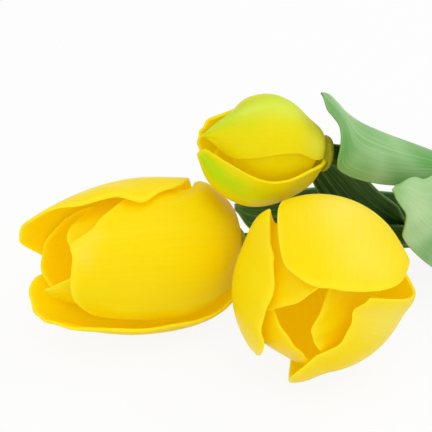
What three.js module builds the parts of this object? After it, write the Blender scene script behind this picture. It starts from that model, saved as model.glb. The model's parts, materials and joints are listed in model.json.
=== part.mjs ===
// Artificial tulip bouquet: three soft-moulded tulips on wire-cored stems, lying on a table and
// held together by a band of floral tape. Millimetres, +Z up. The stems run along +X, the flowers
// look towards -X, and the origin is on the table under the middle of the bouquet.
import * as THREE from 'three';

// Clearances
const fitGap = 0.3; // turning clearance of a stem in its socket and in a leaf sheath
const seatGap = 0.3; // between pieces that are glued or rest on each other
const footGap = 0.5; // between a petal's foot and the neck that it is glued round
const layerGap = 0.6; // between petals that lie one over another

// Stems: a steel wire in a soft tube
const stemDiameter = 6.4;
const wireDiameter = 2.4;
const wireGap = 0.3;
const socketDepth = 9; // how far a stem reaches into its flower, above the petal seats

// Receptacle: the plug that carries the petals and pushes onto the stem
const socketWall = 1.3;
const collarRim = 0.2; // how far the collar stands out past the petal seats
const collarHeight = 2;
const collarLip = 0.6; // wall at the socket's mouth, where the collar tapers onto the stem
const crownWall = 2.2; // material over the socket's end

// Petals
const petalThickness = 1.2;
const petalsPerLayer = 3;
const tipPower = 1.8; // squareness of a petal's rounded end
const leanPower = 1.5; // how late up the petal its lean sets in
// Shares of a petal's length, from its seat, and of its half width, from its middle
const fullWidthAt = 0.5;
const curlFrom = 0.7;
const setInBy = 0.22; // where a blade has come to its depth and its edges over their neighbours
const flareUp = [0.45, 0.85];
const flareAcross = 0.55;

// Tape band
const bandWidth = 14;
const bandThickness = 0.9;
const bandFromOrigin = 176; // centre of the band along X, from the half-open flower's seat
const fanStart = 8; // straight run of stem between the band and the bend where the stems part

// Leaves
const leafThickness = 0.9;
const sheathLength = 13;
const sheathWrap = 230; // degrees of the stem that the sheath goes round
// Shares of a blade's length, from the throat of its sheath
const unrolledAt = 0.3;
const shoulder = [0.76, 0.88]; // where a beaked blade narrows

// One entry for each tulip. The head's own frame has its petal seats at the origin and its axis
// along +Z. Angles are in degrees, yaw from -X towards -Y and pitch upwards. A petal's turn is away
// from its even place in the layer, and cut is how much it stops short of the head's height. depth
// sets its blade inwards, lean moves the blade outwards along its own middle, and curl its tip.
// low and high are its two sides: how many degrees wider than half the span, the share of the
// length that the tip's corner loses, how far the edge lies over its neighbour and how far it flares.
const tulips = {
  half_open: {
    bellyRadius: 23.2, bellyHeight: 27, baseFullness: 0.64,
    mouthRadius: 13.5, mouthLean: -6, height: 65,
    seatSpan: 104, outerSpan: 114, innerSpan: 112,
    yaw: 8, pitch: 7, roll: 29, seatX: 4, seatY: 4.8,
    neck: 36, neckBend: 16, fanBend: 30, stemEnd: 92, stemSteps: 22, bundle: [0.5, 0],
    outer: [
      {
        turn: 12, cut: 8, depth: 2.1, lean: 0.5, curl: 0,
        low: [17, 0.05, 0, 0], high: [16, 0.66, -1.6, 0],
      },
      {
        turn: 14, cut: 0, depth: 0, lean: -2, curl: 0,
        low: [28, 0.2, 2.8, 1], high: [-14, 0.2, 0, 1],
      },
      {
        turn: 0, cut: 1, depth: 0, lean: 1, curl: 1,
        low: [-4, 0.2, 0, 1], high: [-2, 0.2, 0.6, 1.6],
      },
    ],
    inner: [
      {
        turn: -32, cut: 2.5, depth: 3, lean: -0.5, curl: 0,
        low: [0, 0.18, 0, 0], high: [-6, 0.4, 0, 0],
      },
      {
        turn: 0, cut: 6, depth: 0.4, lean: -0.8, curl: 0,
        low: [0, 0.26, 0, 0], high: [0, 0.26, 0, 0],
      },
      {
        turn: 0, cut: 4, depth: 2.4, lean: -0.6, curl: 0,
        low: [0, 0.26, 0, 0], high: [0, 0.26, 0, 0],
      },
    ],
  },
  bud: {
    bellyRadius: 16.2, bellyHeight: 18, baseFullness: 0.52,
    mouthRadius: 2.2, mouthLean: -7, height: 39.5,
    seatSpan: 100, outerSpan: 114, innerSpan: 112,
    yaw: 0, pitch: 14, roll: 72, seatX: 29.7, seatY: 0.3,
    neck: 16, neckBend: 8, fanBend: 30, stemEnd: 99, stemSteps: 22, bundle: [0, 1],
    outer: [
      {
        turn: 0, cut: 0, depth: 1.6, lean: 1.4, curl: -1.6,
        low: [8, 0, 0, 0], high: [0, 0.14, 0, 0],
      },
      {
        turn: 0, cut: 5, depth: 0, lean: 0, curl: 0,
        low: [0, 0.14, 0, 0], high: [0, 0.14, 0, 0],
      },
      {
        turn: 0, cut: 1.5, depth: -0.2, lean: 1.6, curl: -2.4,
        low: [0, 0.14, 0, 0], high: [-20, 0.04, 0, 0],
      },
    ],
    inner: [
      {
        turn: 0, cut: 9, depth: 1.6, lean: 0, curl: 0,
        low: [0, 0.16, 0, 0], high: [0, 0.16, 0, 0],
      },
      {
        turn: 0, cut: 9, depth: 0.6, lean: 0, curl: 0,
        low: [0, 0.16, 0, 0], high: [0, 0.16, 0, 0],
      },
      {
        turn: 0, cut: 9, depth: 1.6, lean: 0.2, curl: 0,
        low: [0, 0.16, 0, 0], high: [0, 0.16, 0, 0],
      },
    ],
  },
  open: {
    bellyRadius: 25.4, bellyHeight: 23, baseFullness: 0.55,
    mouthRadius: 13.5, mouthLean: -9, height: 50,
    seatSpan: 74, outerSpan: 106, innerSpan: 104,
    yaw: 78, pitch: 3, roll: 64, seatX: 24.8, seatY: -14.3,
    neck: 15, neckBend: 9, fanBend: 30, stemEnd: 95, stemSteps: 48, bundle: [-0.5, 0],
    outer: [
      {
        turn: 12, cut: 2.6, depth: -1.4, lean: -2, curl: 0,
        low: [0, 0.12, 0, 2], high: [-12, 0.1, 0, 0],
      },
      {
        turn: 0, cut: 6.5, depth: 0, lean: 0.8, curl: 0,
        low: [2, 0.15, 0, 0.6], high: [-14, 0.24, 0, 0],
      },
      {
        turn: 12, cut: 2, depth: -2.4, lean: -9.6, curl: 0,
        low: [6, 0.16, 0, 5], high: [-6, 0.04, 0, 6],
      },
    ],
    inner: [
      {
        turn: 0, cut: 4, depth: 0, lean: -2, curl: 0,
        low: [0, 0.2, 0, 0], high: [0, 0.2, 0, 0],
      },
      {
        turn: -18, cut: 4, depth: 0, lean: -3.2, curl: 0,
        low: [0, 0.16, 0, 0], high: [-12, 0.2, 0, 0],
      },
      {
        turn: 6, cut: 2, depth: 0, lean: -17, curl: 0,
        low: [-6, 0.16, 0, 0], high: [-8, 0.36, 0, 0],
      },
    ],
  },
};

// The bud's seats lie this far above the half-open flower's thickness
const budRise = 4.2;

// One entry for each leaf. below is where the sheath starts, from the corner under the flower down
// the stem; turn is about the stem, from straight up towards -Y. halves are the blade's two widths
// from its midrib, reached over the wide shares of its length, gutter is the radius that it is
// hollowed to and beak the share of its width left past the shoulder. reach, lift and sway place the
// tip along the stem, out of it and across it. droop and swing turn the tip's own direction, from
// along the stem outwards and across it.
const leaves = {
  bud_leaf: {
    stem: 'bud', below: 60.7, turn: 12,
    halves: [19, 12], wide: [0.3, 0.8], gutter: 10, beak: 0.4, tipPower: 5,
    reach: 70, lift: 16.5, sway: 1, droop: 35, swing: 0, firstHandle: 14, tipHandle: 28,
  },
  open_leaf: {
    stem: 'open', below: 77.6, turn: 84.5,
    halves: [14.5, 13.5], wide: [0, 0.4], gutter: 30, beak: 0.5, tipPower: 2.4,
    reach: 51.6, lift: 25, sway: 26, droop: 0, swing: 32, firstHandle: 16, tipHandle: 20,
  },
  half_open_leaf: {
    stem: 'half_open', below: 89.4, turn: -80,
    halves: [12, 12], wide: [0, 0.4], gutter: 16, beak: 1, tipPower: 2.6,
    reach: 104, lift: 17, sway: 5, droop: -3, swing: 6, firstHandle: 26, tipHandle: 34,
  },
  half_open_upper_leaf: {
    stem: 'half_open', below: 40.4, turn: -66,
    halves: [11, 11], wide: [0, 0.4], gutter: 16, beak: 1, tipPower: 2.6,
    reach: 37, lift: 15.5, sway: -18, droop: 20, swing: -22, firstHandle: 18, tipHandle: 16,
  },
};

// Grid steps of the shells and tubes
const petalSteps = [8, 7];
const leafSteps = [15, 8];
const stemSides = 10;
const wireSides = 6;
const latheSteps = 16;
const curveSteps = 4; // in each rounded part of a lathed profile or of the band's outline

const petalColour = { half_open: 0xf2d400, bud: 0xdfe000, open: 0xf6da14 };

// Sizes that follow from the ones above
const stemRadius = stemDiameter / 2;
const socketRadius = stemRadius + fitGap;
const seatRadius = socketRadius + socketWall + footGap; // where every petal's foot starts
const petalPitch = petalThickness + layerGap; // step from one petal to the next over it
const layerAngle = 360 / petalsPerLayer;
const layerOffset = 1.5 * petalPitch; // the inner layer clears the wound outer one
const stemSpacing = stemDiameter + seatGap;
const bundleHeight = stemRadius + seatGap + bandThickness;
const sheathRadius = stemRadius + fitGap + leafThickness / 2;

const radians = THREE.MathUtils.degToRad;
const smoothstep = THREE.MathUtils.smoothstep;
const lerp = THREE.MathUtils.lerp;

function material(color, roughness, metalness = 0) {
  return new THREE.MeshStandardMaterial({ color, roughness, metalness });
}

function mesh(name, geometry, finish) {
  const made = new THREE.Mesh(geometry, finish);
  made.name = name;
  return made;
}

// A closed thin shell: rows of points on its middle surface, thickened both ways along the normals.
function shell(rows, thickness) {
  const count = rows.length;
  const width = rows[0].length;
  const along = new THREE.Vector3();
  const across = new THREE.Vector3();
  const outside = [];
  const inside = [];
  for (let i = 0; i < count; i++) {
    for (let j = 0; j < width; j++) {
      along.subVectors(rows[Math.min(i + 1, count - 1)][j], rows[Math.max(i - 1, 0)][j]);
      across.subVectors(rows[i][Math.min(j + 1, width - 1)], rows[i][Math.max(j - 1, 0)]);
      const step = across.clone().cross(along).setLength(thickness / 2);
      outside.push(rows[i][j].clone().add(step));
      inside.push(rows[i][j].clone().sub(step));
    }
  }
  const points = [...outside, ...inside];
  const half = outside.length;
  const index = [];
  const quad = (a, b, c, d) => index.push(a, b, c, a, c, d);
  const at = (i, j) => i * width + j;
  for (let i = 0; i + 1 < count; i++) {
    for (let j = 0; j + 1 < width; j++) {
      quad(at(i, j), at(i, j + 1), at(i + 1, j + 1), at(i + 1, j));
      quad(half + at(i, j), half + at(i + 1, j), half + at(i + 1, j + 1), half + at(i, j + 1));
    }
    const last = width - 1;
    quad(at(i, 0), at(i + 1, 0), half + at(i + 1, 0), half + at(i, 0));
    quad(at(i + 1, last), at(i, last), half + at(i, last), half + at(i + 1, last));
  }
  for (let j = 0; j + 1 < width; j++) {
    const top = count - 1;
    quad(at(0, j + 1), at(0, j), half + at(0, j), half + at(0, j + 1));
    quad(at(top, j), at(top, j + 1), half + at(top, j + 1), half + at(top, j));
  }
  return new THREE.BufferGeometry().setFromPoints(points).setIndex(index);
}

// A head's outline from seat to mouth, as (radius, height): a round shoulder out to the belly, then
// a curve that closes in to the mouth.
function headProfile(head) {
  const { bellyRadius, bellyHeight, baseFullness, mouthRadius, mouthLean, height } = head;
  const rise = height - bellyHeight;
  const swell = bellyRadius - seatRadius;
  const profile = new THREE.CurvePath();
  profile.add(new THREE.CubicBezierCurve(
    new THREE.Vector2(seatRadius, 0),
    new THREE.Vector2(seatRadius + baseFullness * swell, 0),
    new THREE.Vector2(bellyRadius, bellyHeight * (1 - baseFullness)),
    new THREE.Vector2(bellyRadius, bellyHeight),
  ));
  profile.add(new THREE.CubicBezierCurve(
    new THREE.Vector2(bellyRadius, bellyHeight),
    new THREE.Vector2(bellyRadius, bellyHeight + rise / 3),
    new THREE.Vector2(mouthRadius - mouthLean, height - rise / 3),
    new THREE.Vector2(mouthRadius, height),
  ));
  return profile;
}

// One petal: a strip of the head's surface, wound into a slow spiral so that neighbours in a layer
// never meet, moved along the surface's normal by its layer, tip curl and edge flare, then leaned.
function petalGeometry(head, petal, isInner) {
  const profile = headProfile(head);
  const length = profile.getLength();
  const [stepsUp, stepsAcross] = petalSteps;
  const span = isInner ? head.innerSpan : head.outerSpan;
  const rows = [];
  for (let i = 0; i <= stepsUp; i++) {
    const row = [];
    for (let j = 0; j <= stepsAcross; j++) {
      const v = Math.sin((Math.PI / 2) * (2 * j / stepsAcross - 1));
      const corner = (1 - Math.abs(v) ** tipPower) ** (1 / tipPower);
      const [wider, round, lap, flare] = v < 0 ? petal.low : petal.high;
      const reach = 1 - petal.cut / length - round * (1 - corner);
      const t = (i / stepsUp) * reach;
      const halfSpan = lerp(head.seatSpan / 2, span / 2 + wider, smoothstep(t, 0, fullWidthAt));
      const angle = halfSpan * v;
      const place = profile.getPointAt(t);
      const slope = profile.getTangentAt(t);
      const nearEdge = smoothstep(Math.abs(v), flareAcross, 1);
      const offset = petalPitch * (angle / layerAngle) - (isInner ? layerOffset : 0)
        + (lap * nearEdge - petal.depth) * smoothstep(t, 0, setInBy)
        + petal.curl * smoothstep(t, curlFrom, 1) ** 2
        + flare * nearEdge * smoothstep(t, ...flareUp);
      const radius = place.x + slope.y * offset;
      row.push(new THREE.Vector3(
        radius * Math.cos(radians(angle)) + petal.lean * t ** leanPower,
        radius * Math.sin(radians(angle)),
        place.y - slope.x * offset,
      ));
    }
    rows.push(row);
  }
  return shell(rows, petalThickness);
}

// The plug under a flower: a collar, a neck that the petals are glued round, a domed crown and a
// blind socket for the stem.
function receptacleGeometry(head) {
  const neckRadius = seatRadius - footGap;
  const footSpread = petalThickness / 2 + petalPitch * (head.seatSpan / 2 / layerAngle);
  const collarTop = -(footSpread + seatGap);
  const collarFoot = collarTop - collarHeight;
  const collarRadius = seatRadius + collarRim;
  const crownTop = socketDepth + crownWall;
  const profile = new THREE.Path();
  profile.moveTo(0, socketDepth);
  profile.lineTo(socketRadius, socketDepth);
  profile.lineTo(socketRadius, collarFoot);
  profile.lineTo(socketRadius + collarLip, collarFoot);
  profile.quadraticCurveTo(collarRadius, (collarFoot + collarTop) / 2, collarRadius, collarTop);
  profile.lineTo(neckRadius, collarTop);
  profile.lineTo(neckRadius, socketDepth);
  profile.quadraticCurveTo(neckRadius, crownTop, 0, crownTop);
  return new THREE.LatheGeometry(profile.getPoints(curveSteps), latheSteps).rotateX(Math.PI / 2);
}

// A flower's place: its seats, its axis and the roll of its petals about that axis.
function headFrame(name) {
  const head = tulips[name];
  const axis = new THREE.Vector3(-1, 0, 0)
    .applyAxisAngle(new THREE.Vector3(0, 1, 0), radians(head.pitch))
    .applyAxisAngle(new THREE.Vector3(0, 0, 1), radians(head.yaw));
  const outerRadius = head.bellyRadius + petalThickness / 2;
  const restHeight = outerRadius - axis.z * head.bellyHeight;
  const raised = 2 * tulips.half_open.bellyRadius + budRise;
  const seat = new THREE.Vector3(head.seatX, head.seatY, name === 'bud' ? raised : restHeight);
  return { axis, seat };
}

// Centre of a stem at the band, where the three stems lie as a close triangle.
function bundlePoint(head, x) {
  const [across, up] = head.bundle;
  return new THREE.Vector3(
    x, across * stemSpacing, bundleHeight + up * stemSpacing * Math.sin(Math.PI / 3),
  );
}

// The corners of a stem's line, from inside the flower to its cut end.
function stemCorners(name) {
  const head = tulips[name];
  const { axis, seat } = headFrame(name);
  return [
    seat.clone().addScaledVector(axis, socketDepth - seatGap),
    seat.clone().addScaledVector(axis, -head.neck),
    bundlePoint(head, bandFromOrigin - bandWidth / 2 - fanStart - head.fanBend / 2),
    bundlePoint(head, bandFromOrigin + head.stemEnd),
  ];
}

// A stem's centre line: straight runs with their two corners rounded.
function stemLine(name) {
  const head = tulips[name];
  const [tip, neck, fan, end] = stemCorners(name);
  const along = (from, to, distance) => from.clone().addScaledVector(
    to.clone().sub(from).normalize(), distance,
  );
  const line = new THREE.CurvePath();
  const neckIn = along(neck, tip, head.neckBend);
  const neckOut = along(neck, fan, head.neckBend);
  const fanIn = along(fan, neck, head.fanBend / 2);
  const fanOut = along(fan, end, head.fanBend / 2);
  line.add(new THREE.LineCurve3(tip, neckIn));
  line.add(new THREE.QuadraticBezierCurve3(neckIn, neck, neckOut));
  line.add(new THREE.LineCurve3(neckOut, fanIn));
  line.add(new THREE.QuadraticBezierCurve3(fanIn, fan, fanOut));
  line.add(new THREE.LineCurve3(fanOut, end));
  return line;
}

function disc(radius) {
  return new THREE.Shape().absarc(0, 0, radius, 0, 2 * Math.PI);
}

function tube(name, section, sides) {
  const { stemSteps: steps } = tulips[name];
  return new THREE.ExtrudeGeometry(section, {
    extrudePath: stemLine(name), steps, curveSegments: sides / 2,
  });
}

function stemGeometry(name) {
  const section = disc(stemRadius);
  section.holes.push(disc(wireDiameter / 2 + wireGap));
  return tube(name, section, stemSides);
}

function wireGeometry(name) {
  return tube(name, disc(wireDiameter / 2), wireSides);
}

// A leaf in its stem's frame, with +Z along the stem towards the flower and +X out of the sheath.
// It is one strip: rolled round the stem as a sheath, then unrolling into a guttered blade.
function leafGeometry(leaf) {
  const tip = new THREE.Vector3(sheathRadius + leaf.lift, leaf.sway, sheathLength + leaf.reach);
  const heading = new THREE.Vector3(0, 0, 1)
    .applyAxisAngle(new THREE.Vector3(0, 1, 0), radians(leaf.droop))
    .applyAxisAngle(new THREE.Vector3(1, 0, 0), -radians(leaf.swing));
  const foot = new THREE.Vector3(sheathRadius, 0, 0);
  const throat = new THREE.Vector3(sheathRadius, 0, sheathLength);
  const midrib = new THREE.CurvePath();
  midrib.add(new THREE.LineCurve3(foot, throat));
  midrib.add(new THREE.CubicBezierCurve3(
    throat,
    throat.clone().add(new THREE.Vector3(0, 0, leaf.firstHandle)),
    tip.clone().addScaledVector(heading, -leaf.tipHandle),
    tip,
  ));
  const sheathShare = sheathLength / midrib.getLength();
  const sheathHalf = sheathRadius * radians(sheathWrap / 2);
  const tipHalf = leafThickness;
  const [stepsUp, stepsAcross] = leafSteps;
  const outward = new THREE.Vector3(1, 0, 0);
  const rows = [];
  for (let i = 0; i <= stepsUp; i++) {
    const t = i / stepsUp;
    const w = Math.max(0, (t - sheathShare) / (1 - sheathShare));
    const place = midrib.getPointAt(t);
    const slope = midrib.getTangentAt(t);
    outward.addScaledVector(slope, -outward.dot(slope)).normalize();
    const sideways = slope.clone().cross(outward);
    const taper = Math.sqrt(1 - w ** leaf.tipPower) * lerp(1, leaf.beak, smoothstep(w, ...shoulder));
    const halves = leaf.halves.map((width) => Math.max(
      tipHalf, lerp(sheathHalf, width, smoothstep(w, ...leaf.wide)) * taper,
    ));
    const bend = lerp(1 / sheathRadius, 1 / leaf.gutter, smoothstep(w, 0, unrolledAt));
    const row = [];
    for (let j = 0; j <= stepsAcross; j++) {
      const v = 2 * j / stepsAcross - 1;
      const angle = bend * halves[v < 0 ? 0 : 1] * v;
      row.push(place.clone()
        .addScaledVector(sideways, Math.sin(angle) / bend)
        .addScaledVector(outward, (Math.cos(angle) - 1) / bend));
    }
    rows.push(row);
  }
  return shell(rows, leafThickness);
}

// A ring round the three stems: arcs about the stems' centres, joined by straight runs.
function bandOutline(radius, Kind) {
  const top = stemSpacing * Math.sin(Math.PI / 3);
  return new Kind()
    .absarc(stemSpacing / 2, 0, radius, -Math.PI / 2, Math.PI / 6)
    .absarc(0, top, radius, Math.PI / 6, (5 * Math.PI) / 6)
    .absarc(-stemSpacing / 2, 0, radius, (5 * Math.PI) / 6, (3 * Math.PI) / 2);
}

function bandGeometry() {
  const inside = stemRadius + seatGap;
  const outline = bandOutline(inside + bandThickness, THREE.Shape);
  outline.holes.push(bandOutline(inside, THREE.Path));
  return new THREE.ExtrudeGeometry(outline, {
    depth: bandWidth, bevelEnabled: false, curveSegments: curveSteps,
  });
}

// A flower: its receptacle and two layers of petals, in a group placed on its stem.
function makeHead(name) {
  const head = tulips[name];
  const { axis, seat } = headFrame(name);
  const group = new THREE.Group();
  group.position.copy(seat);
  // The petals' zero direction looks level across the axis, and roll turns it from there.
  const across = new THREE.Vector3(0, 0, 1).cross(axis).normalize();
  const over = axis.clone().cross(across);
  group.quaternion.setFromRotationMatrix(new THREE.Matrix4().makeBasis(across, over, axis));
  group.add(mesh(`${name}_receptacle`, receptacleGeometry(head), material(0x8fa53a, 0.6)));
  for (const layer of ['outer', 'inner']) {
    head[layer].forEach((petal, k) => {
      const isInner = layer === 'inner';
      const piece = mesh(
        `${name}_${layer}_petal_${k + 1}`,
        petalGeometry(head, petal, isInner),
        material(petalColour[name], 0.45),
      );
      const place = k + (isInner ? 0.5 : 0);
      piece.rotation.z = radians(head.roll + layerAngle * place + petal.turn);
      group.add(piece);
    });
  }
  return group;
}

function makeStem(name) {
  const group = new THREE.Group();
  group.add(mesh(`${name}_stem`, stemGeometry(name), material(0x3f6b1e, 0.55)));
  group.add(mesh(`${name}_stem_wire`, wireGeometry(name), material(0x8a8d90, 0.4, 0.9)));
  return group;
}

// A leaf turned on its stem, on the straight run between the parting bend and the neck.
function makeLeaf(name) {
  const leaf = leaves[name];
  const [, neck, fan] = stemCorners(leaf.stem);
  const group = new THREE.Group();
  const toFlower = neck.clone().sub(fan).normalize();
  const level = new THREE.Vector3(0, 0, 1).cross(toFlower).normalize();
  const up = toFlower.clone().cross(level);
  group.position.copy(neck).addScaledVector(toFlower, -leaf.below);
  group.quaternion.setFromRotationMatrix(
    new THREE.Matrix4().makeBasis(up, level.negate(), toFlower),
  );
  const blade = mesh(name, leafGeometry(leaf), material(0x8fc487, 0.5));
  blade.rotation.z = -radians(leaf.turn);
  group.add(blade);
  return group;
}

function makeBand() {
  const band = mesh('tape_band', bandGeometry(), material(0x4f7f35, 0.75));
  band.quaternion.setFromRotationMatrix(new THREE.Matrix4().makeBasis(
    new THREE.Vector3(0, 1, 0), new THREE.Vector3(0, 0, 1), new THREE.Vector3(1, 0, 0),
  ));
  band.position.set(bandFromOrigin - bandWidth / 2, 0, bundleHeight);
  return band;
}

const bouquet = new THREE.Group();
for (const name of Object.keys(tulips)) {
  bouquet.add(makeHead(name), makeStem(name));
}
for (const name of Object.keys(leaves)) {
  bouquet.add(makeLeaf(name));
}
bouquet.add(makeBand());

// The origin: on the table, under the middle of the bouquet's box.
const box = new THREE.Box3().setFromObject(bouquet, true);
const middle = box.getCenter(new THREE.Vector3());
for (const piece of bouquet.children) {
  piece.position.sub(new THREE.Vector3(middle.x, middle.y, box.min.z));
}

export default bouquet;
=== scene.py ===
import json
import bpy
import numpy as np
from mathutils import Matrix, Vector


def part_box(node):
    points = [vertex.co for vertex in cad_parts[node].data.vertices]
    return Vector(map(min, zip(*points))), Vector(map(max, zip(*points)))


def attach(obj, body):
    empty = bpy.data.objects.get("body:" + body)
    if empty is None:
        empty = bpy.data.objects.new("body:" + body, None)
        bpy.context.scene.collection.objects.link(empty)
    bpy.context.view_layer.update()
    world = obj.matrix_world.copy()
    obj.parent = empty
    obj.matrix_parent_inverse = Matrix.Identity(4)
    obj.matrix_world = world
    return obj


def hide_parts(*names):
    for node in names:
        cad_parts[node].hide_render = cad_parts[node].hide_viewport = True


# Artificial tulip bouquet: soft moulded petals, leaves and stems around the CAD frame.
# Sizes in the dictionaries are millimetres and degrees; meshes are in metres.
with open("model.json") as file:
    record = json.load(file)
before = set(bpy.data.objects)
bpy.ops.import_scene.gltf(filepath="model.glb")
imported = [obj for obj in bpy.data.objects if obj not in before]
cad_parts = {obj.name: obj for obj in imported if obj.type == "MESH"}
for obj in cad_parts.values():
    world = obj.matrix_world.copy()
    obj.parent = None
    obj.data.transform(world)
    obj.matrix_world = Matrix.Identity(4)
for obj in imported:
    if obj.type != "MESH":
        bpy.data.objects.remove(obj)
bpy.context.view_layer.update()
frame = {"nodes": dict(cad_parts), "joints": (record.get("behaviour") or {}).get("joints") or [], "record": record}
mm = 0.001
joints = {joint["child"]: joint for joint in frame["joints"]}
tau = 2 * np.pi
level = [(0, 0), (1, 0)]  # knots of a line that adds nothing


# curves and weights

def smooth(x, low, high):  # cubic step: 0 below low, 1 above high
    s = np.clip((x - low) / (high - low), 0, 1)
    return s * s * (3 - 2 * s)


def bell(x, middle, width):  # bell curve: 1 at middle, about 0.37 a width away
    return np.exp(-((x - middle) / width) ** 2)


def curveThrough(x, knots):  # a smooth line through (place, value) knots, level past its two ends
    place, value = np.array(knots, float).T
    steepness = np.gradient(value, place)
    k = np.clip(np.searchsorted(place, x) - 1, 0, len(place) - 2)
    step = place[k + 1] - place[k]
    s = np.clip((x - place[k]) / step, 0, 1)
    start = (1 + 2 * s) * (1 - s) ** 2 * value[k] + s * (1 - s) ** 2 * step * steepness[k]
    return start + s * s * (3 - 2 * s) * value[k + 1] - s * s * (1 - s) * step * steepness[k + 1]


def mix(a, b, share):
    return a + (b - a) * share


def unit(v):
    return v / np.linalg.norm(v, axis=-1, keepdims=True)


def bezier(points, count):  # the cubic through four control points, at even steps
    t = np.linspace(0, 1, count)[:, None]
    p = np.asarray(points, float)
    start = (1 - t) ** 3 * p[0] + 3 * (1 - t) ** 2 * t * p[1]
    return start + 3 * (1 - t) * t ** 2 * p[2] + t ** 3 * p[3]


def arcShares(line):  # how far along its own length each point of a line is, from 0 to 1
    steps = np.linalg.norm(np.diff(line, axis=0), axis=1)
    length = np.concatenate([[0], np.cumsum(steps)])
    return length / length[-1], length[-1]


def along(line, shares):  # points of a line at the given shares of its length
    share, _ = arcShares(line)
    return np.stack([np.interp(shares, share, line[:, k]) for k in range(line.shape[1])], axis=-1)


def spun(degrees):  # a turn about the third axis, for points in rows
    c, s = np.cos(np.radians(degrees)), np.sin(np.radians(degrees))
    return np.array([[c, s, 0], [-s, c, 0], [0, 0, 1]])


# meshes

def newObject(name, data):
    thing = bpy.data.objects.new(name, data)
    bpy.context.scene.collection.objects.link(thing)
    return thing


def newPiece(name, points, faces, uv, values, material):
    mesh = bpy.data.meshes.new(name)
    mesh.from_pydata(points.tolist(), [], list(faces))
    corner = np.empty(len(mesh.loops), np.int32)
    mesh.loops.foreach_get("vertex_index", corner)
    layer = mesh.uv_layers.new(name="surface")
    layer.data.foreach_set("uv", uv[corner].astype(np.float32).ravel())
    for key, value in values.items():
        store = mesh.attributes.new(key, "FLOAT", "POINT")
        store.data.foreach_set("value", value.astype(np.float32))
    mesh.polygons.foreach_set("use_smooth", np.ones(len(mesh.polygons), bool))
    mesh.materials.append(material)
    mesh.update()
    return newObject(name, mesh)


def rounded(piece, levels=1):
    modifier = piece.modifiers.new("round", "SUBSURF")
    modifier.levels = levels
    modifier.render_levels = levels
    return piece


def dress(piece, node):
    body = next(b for b, members in frame["record"]["behaviour"]["bodies"].items() if node in members)
    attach(piece, body)
    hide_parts(node)


# A closed shell: the middle surface moved half its thickness along the normal each way, and a rim
# loop between the two edges, pushed outwards by rimRound of the thickness, so that edges are round.
def shellPiece(name, middle, thickness, uv, marks, material, rimRound=0.32):
    rows, columns, _ = middle.shape
    du = np.gradient(middle, axis=1)
    dt = np.gradient(middle, axis=0)
    normal = unit(np.cross(du, dt))
    half = (thickness * np.ones((rows, columns)))[..., None] / 2
    index = np.arange(rows * columns).reshape(rows, columns)
    loop = np.concatenate([index[0, :-1], index[:-1, -1], index[-1, :0:-1], index[:0:-1, 0]])
    flat = middle.reshape(-1, 3)
    tangent = np.roll(flat[loop], -1, axis=0) - np.roll(flat[loop], 1, axis=0)
    outward = unit(np.cross(tangent, normal.reshape(-1, 3)[loop]))
    rim = flat[loop] + outward * half.reshape(-1, 1)[loop] * 2 * rimRound
    outer = (middle + normal * half).reshape(-1, 3)
    inner = (middle - normal * half).reshape(-1, 3)
    count = rows * columns
    a, b, c, d = index[:-1, :-1], index[:-1, 1:], index[1:, 1:], index[1:, :-1]
    top = np.stack([a, b, c, d], axis=-1).reshape(-1, 4)
    bottom = top[:, ::-1] + count
    rimIndex = 2 * count + np.arange(len(loop))
    following = np.roll(np.arange(len(loop)), -1)
    upper = np.stack([loop, rimIndex, rimIndex[following], loop[following]], axis=-1)
    lower = np.stack([rimIndex, loop + count, loop[following] + count, rimIndex[following]], axis=-1)
    points = np.concatenate([outer, inner, rim])
    faces = np.concatenate([top, bottom, upper, lower])
    flatUv = uv.reshape(-1, 2)
    values = {"outside": np.concatenate([np.ones(count), np.zeros(count), np.full(len(loop), 0.5)])}
    for key, mark in marks.items():
        flatMark = (mark * np.ones((rows, columns))).ravel()
        values[key] = np.concatenate([flatMark, flatMark, flatMark[loop]])
    allUv = np.concatenate([flatUv, flatUv, flatUv[loop]])
    return rounded(newPiece(name, points, faces, allUv, values, material))


# materials

def newMaterial(name):
    material = bpy.data.materials.new(name)
    material.use_nodes = True
    tree = material.node_tree
    return material, tree, tree.nodes["Principled BSDF"]


def addNode(tree, kind, **settings):
    node = tree.nodes.new(kind)
    for key, value in settings.items():
        setattr(node, key, value)
    return node


def join(tree, source, target):
    tree.links.new(source, target)


def attribute(tree, name):
    return addNode(tree, "ShaderNodeAttribute", attribute_name=name).outputs["Fac"]


def math(tree, operation, a, b=0.5):
    node = addNode(tree, "ShaderNodeMath", operation=operation, use_clamp=False)
    for socket, value in zip(node.inputs, (a, b)):
        if isinstance(value, (int, float)):
            socket.default_value = value
        else:
            join(tree, value, socket)
    return node.outputs["Value"]


def ramp(tree, value, span, out=(0.0, 1.0)):  # a smooth step over the span, from out's first to its second
    node = addNode(tree, "ShaderNodeMapRange", interpolation_type="SMOOTHSTEP")
    join(tree, value, node.inputs["Value"])
    for ends, given in (("From", span), ("To", out)):
        node.inputs[ends + " Min"].default_value = given[0]
        node.inputs[ends + " Max"].default_value = given[1]
    return node.outputs["Result"]


def blendColour(tree, share, a, b):
    node = addNode(tree, "ShaderNodeMix", data_type="RGBA")
    factor, first, second = node.inputs[0], node.inputs[6], node.inputs[7]
    for socket, value in ((factor, share), (first, a), (second, b)):
        if isinstance(value, (int, float)):
            socket.default_value = value
        elif isinstance(value, tuple):
            socket.default_value = (*value, 1.0)
        else:
            join(tree, value, socket)
    return node.outputs[2]


def linear(r, g, b):  # a colour as seen on screen, 0 to 255, as the shader's linear values
    c = np.array([r, g, b]) / 255
    return tuple(float(x) for x in np.where(c <= 0.04045, c / 12.92, ((c + 0.055) / 1.055) ** 2.4))


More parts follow.
